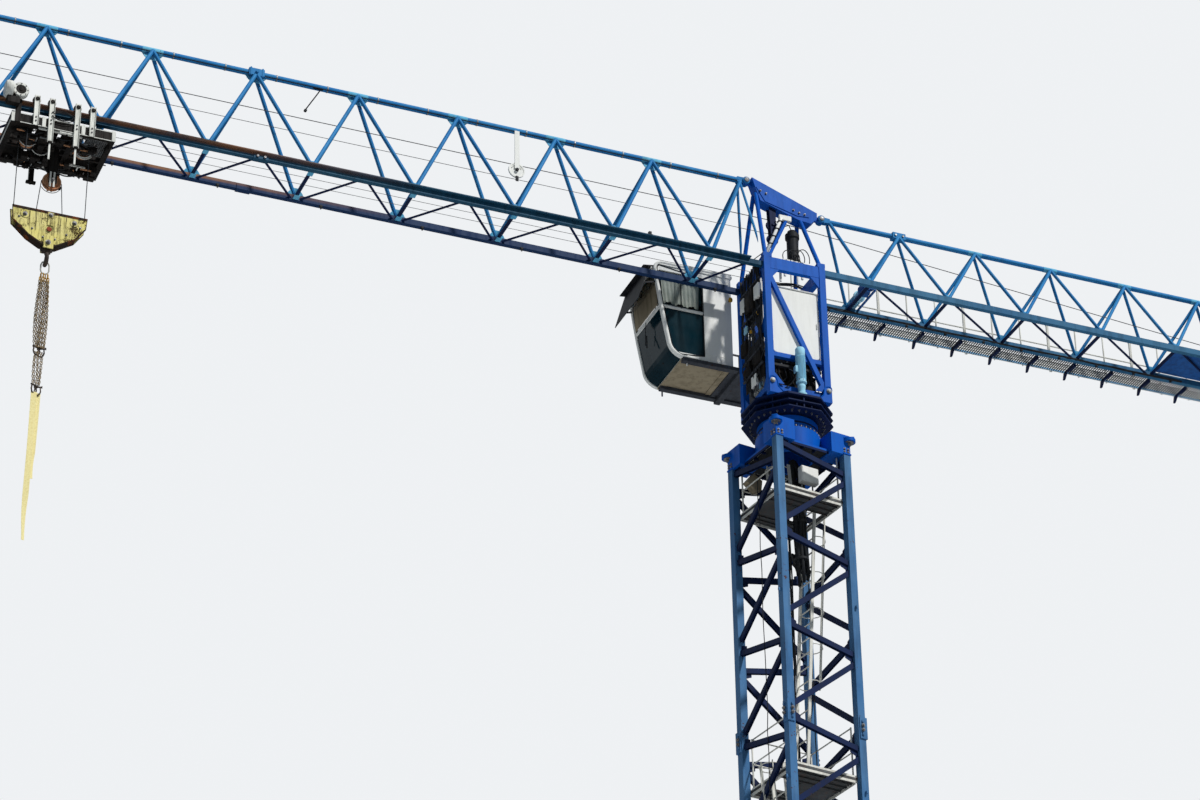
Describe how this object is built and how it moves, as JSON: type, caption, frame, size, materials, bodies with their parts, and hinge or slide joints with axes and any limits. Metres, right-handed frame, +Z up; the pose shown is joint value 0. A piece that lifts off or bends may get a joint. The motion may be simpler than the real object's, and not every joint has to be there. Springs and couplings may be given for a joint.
{
  "type": "tower crane",
  "caption": "Flat-top tower crane: braced mast, slewing head with cab, lattice jib with trolley, hook block and slings.",
  "frame": {"origin": "middle of the flat underside of the base cross, on the slewing axis", "axes": "+Z up along the slewing axis, jib along -X, counter-jib along +X, cab on the +Y side"},
  "size_m": [38.6869, 3.4587, 29.424],
  "materials": {
    "mast_paint": "weathered gloss",
    "brace_paint": "weathered satin",
    "base_paint": "weathered satin",
    "ladder_paint": "satin",
    "landing_steel": "galvanised",
    "deep_blue_paint": "gloss",
    "dark_blue_paint": "satin",
    "sky_blue_paint": "weathered gloss",
    "greased_rail": "greased",
    "motor_paint": "gloss",
    "white_paint": "gloss",
    "cab_glass": "tinted",
    "cab_floor_coat": "matt",
    "visor_black": "matt",
    "platform_steel": "matt",
    "wire_rope": "oiled",
    "grating": "satin",
    "winch_paint": "gloss",
    "concrete": "rough",
    "trolley_paint": "grimy",
    "roller_steel": "worn",
    "sheave_steel": "worn",
    "hook_yellow": "worn",
    "hook_steel": "oiled",
    "chain_steel": "rusty",
    "webbing": "woven"
  },
  "bodies": {
    "mast": {"base_cross": "base_paint", "mast_legs": "mast_paint", "mast_fish_plates": "mast_paint", "mast_bracing_front": "brace_paint", "mast_bracing_left": "brace_paint", "mast_bracing_right": "brace_paint", "mast_bracing_rear": "brace_paint", "mast_ladders": "ladder_paint", "mast_landings": "landing_steel", "ring_support": "deep_blue_paint", "slewing_ring": "deep_blue_paint"},
    "upperworks": {"slewing_deck": "dark_blue_paint", "slewing_motors": "motor_paint", "column_frame": "deep_blue_paint", "column_feet": "deep_blue_paint", "column_ladder": "ladder_paint", "switch_cabinet": "white_paint", "head_beam": "deep_blue_paint", "head_sheaves": "dark_blue_paint", "head_struts": "deep_blue_paint", "cab_walls": "white_paint", "cab_floor": "cab_floor_coat", "cab_roof": "white_paint", "cab_glazing": "cab_glass", "cab_door": "white_paint", "cab_visor": "visor_black", "cab_platform": "platform_steel", "jib_top_chord": "sky_blue_paint", "jib_bottom_chords": "greased_rail", "jib_lattice_near": "sky_blue_paint", "jib_lattice_far": "sky_blue_paint", "jib_floor_lattice": "sky_blue_paint", "jib_tip": "sky_blue_paint", "jib_ropes": "wire_rope", "rope_guides": "white_paint", "counter_jib_top_chord": "sky_blue_paint", "counter_jib_bottom_chords": "sky_blue_paint", "counter_jib_lattice_near": "sky_blue_paint", "counter_jib_lattice_far": "sky_blue_paint", "counter_jib_floor": "sky_blue_paint", "walkway": "grating", "handrails": "ladder_paint", "hoist_winch": "winch_paint", "ballast_slabs": "concrete"},
    "trolley": {"trolley_frame": "trolley_paint", "trolley_rollers": "roller_steel", "trolley_sheaves": "sheave_steel", "hoist_falls_outer": "wire_rope", "hoist_falls_inner": "wire_rope"},
    "hook_block": {"hook_block_plates": "hook_yellow", "hook_block_sheaves": "roller_steel"},
    "hook": {"load_hook": "hook_steel", "sling_chains": "chain_steel", "webbing_slings": "webbing"}
  },
  "joints": [
    {"name": "slew", "type": "hinge", "parent": "mast", "child": "upperworks", "pos_m": [0, 0, 23.86], "axis": [0, 0, 1], "continuous": true},
    {"name": "trolley_travel", "type": "slide", "parent": "upperworks", "child": "trolley", "axis": [-1, 0, 0], "range_m": [-10.6, 9.6]},
    {"name": "hook_hoist", "type": "slide", "parent": "trolley", "child": "hook_block", "axis": [0, 0, -1], "range_m": [-0.2, 17.5], "deforming": ["hoist_falls_outer", "hoist_falls_inner"]},
    {"name": "hook_swivel", "type": "hinge", "parent": "hook_block", "child": "hook", "pos_m": [-14.37, 0, 24.52], "axis": [0, 0, 1], "continuous": true}
  ]
}
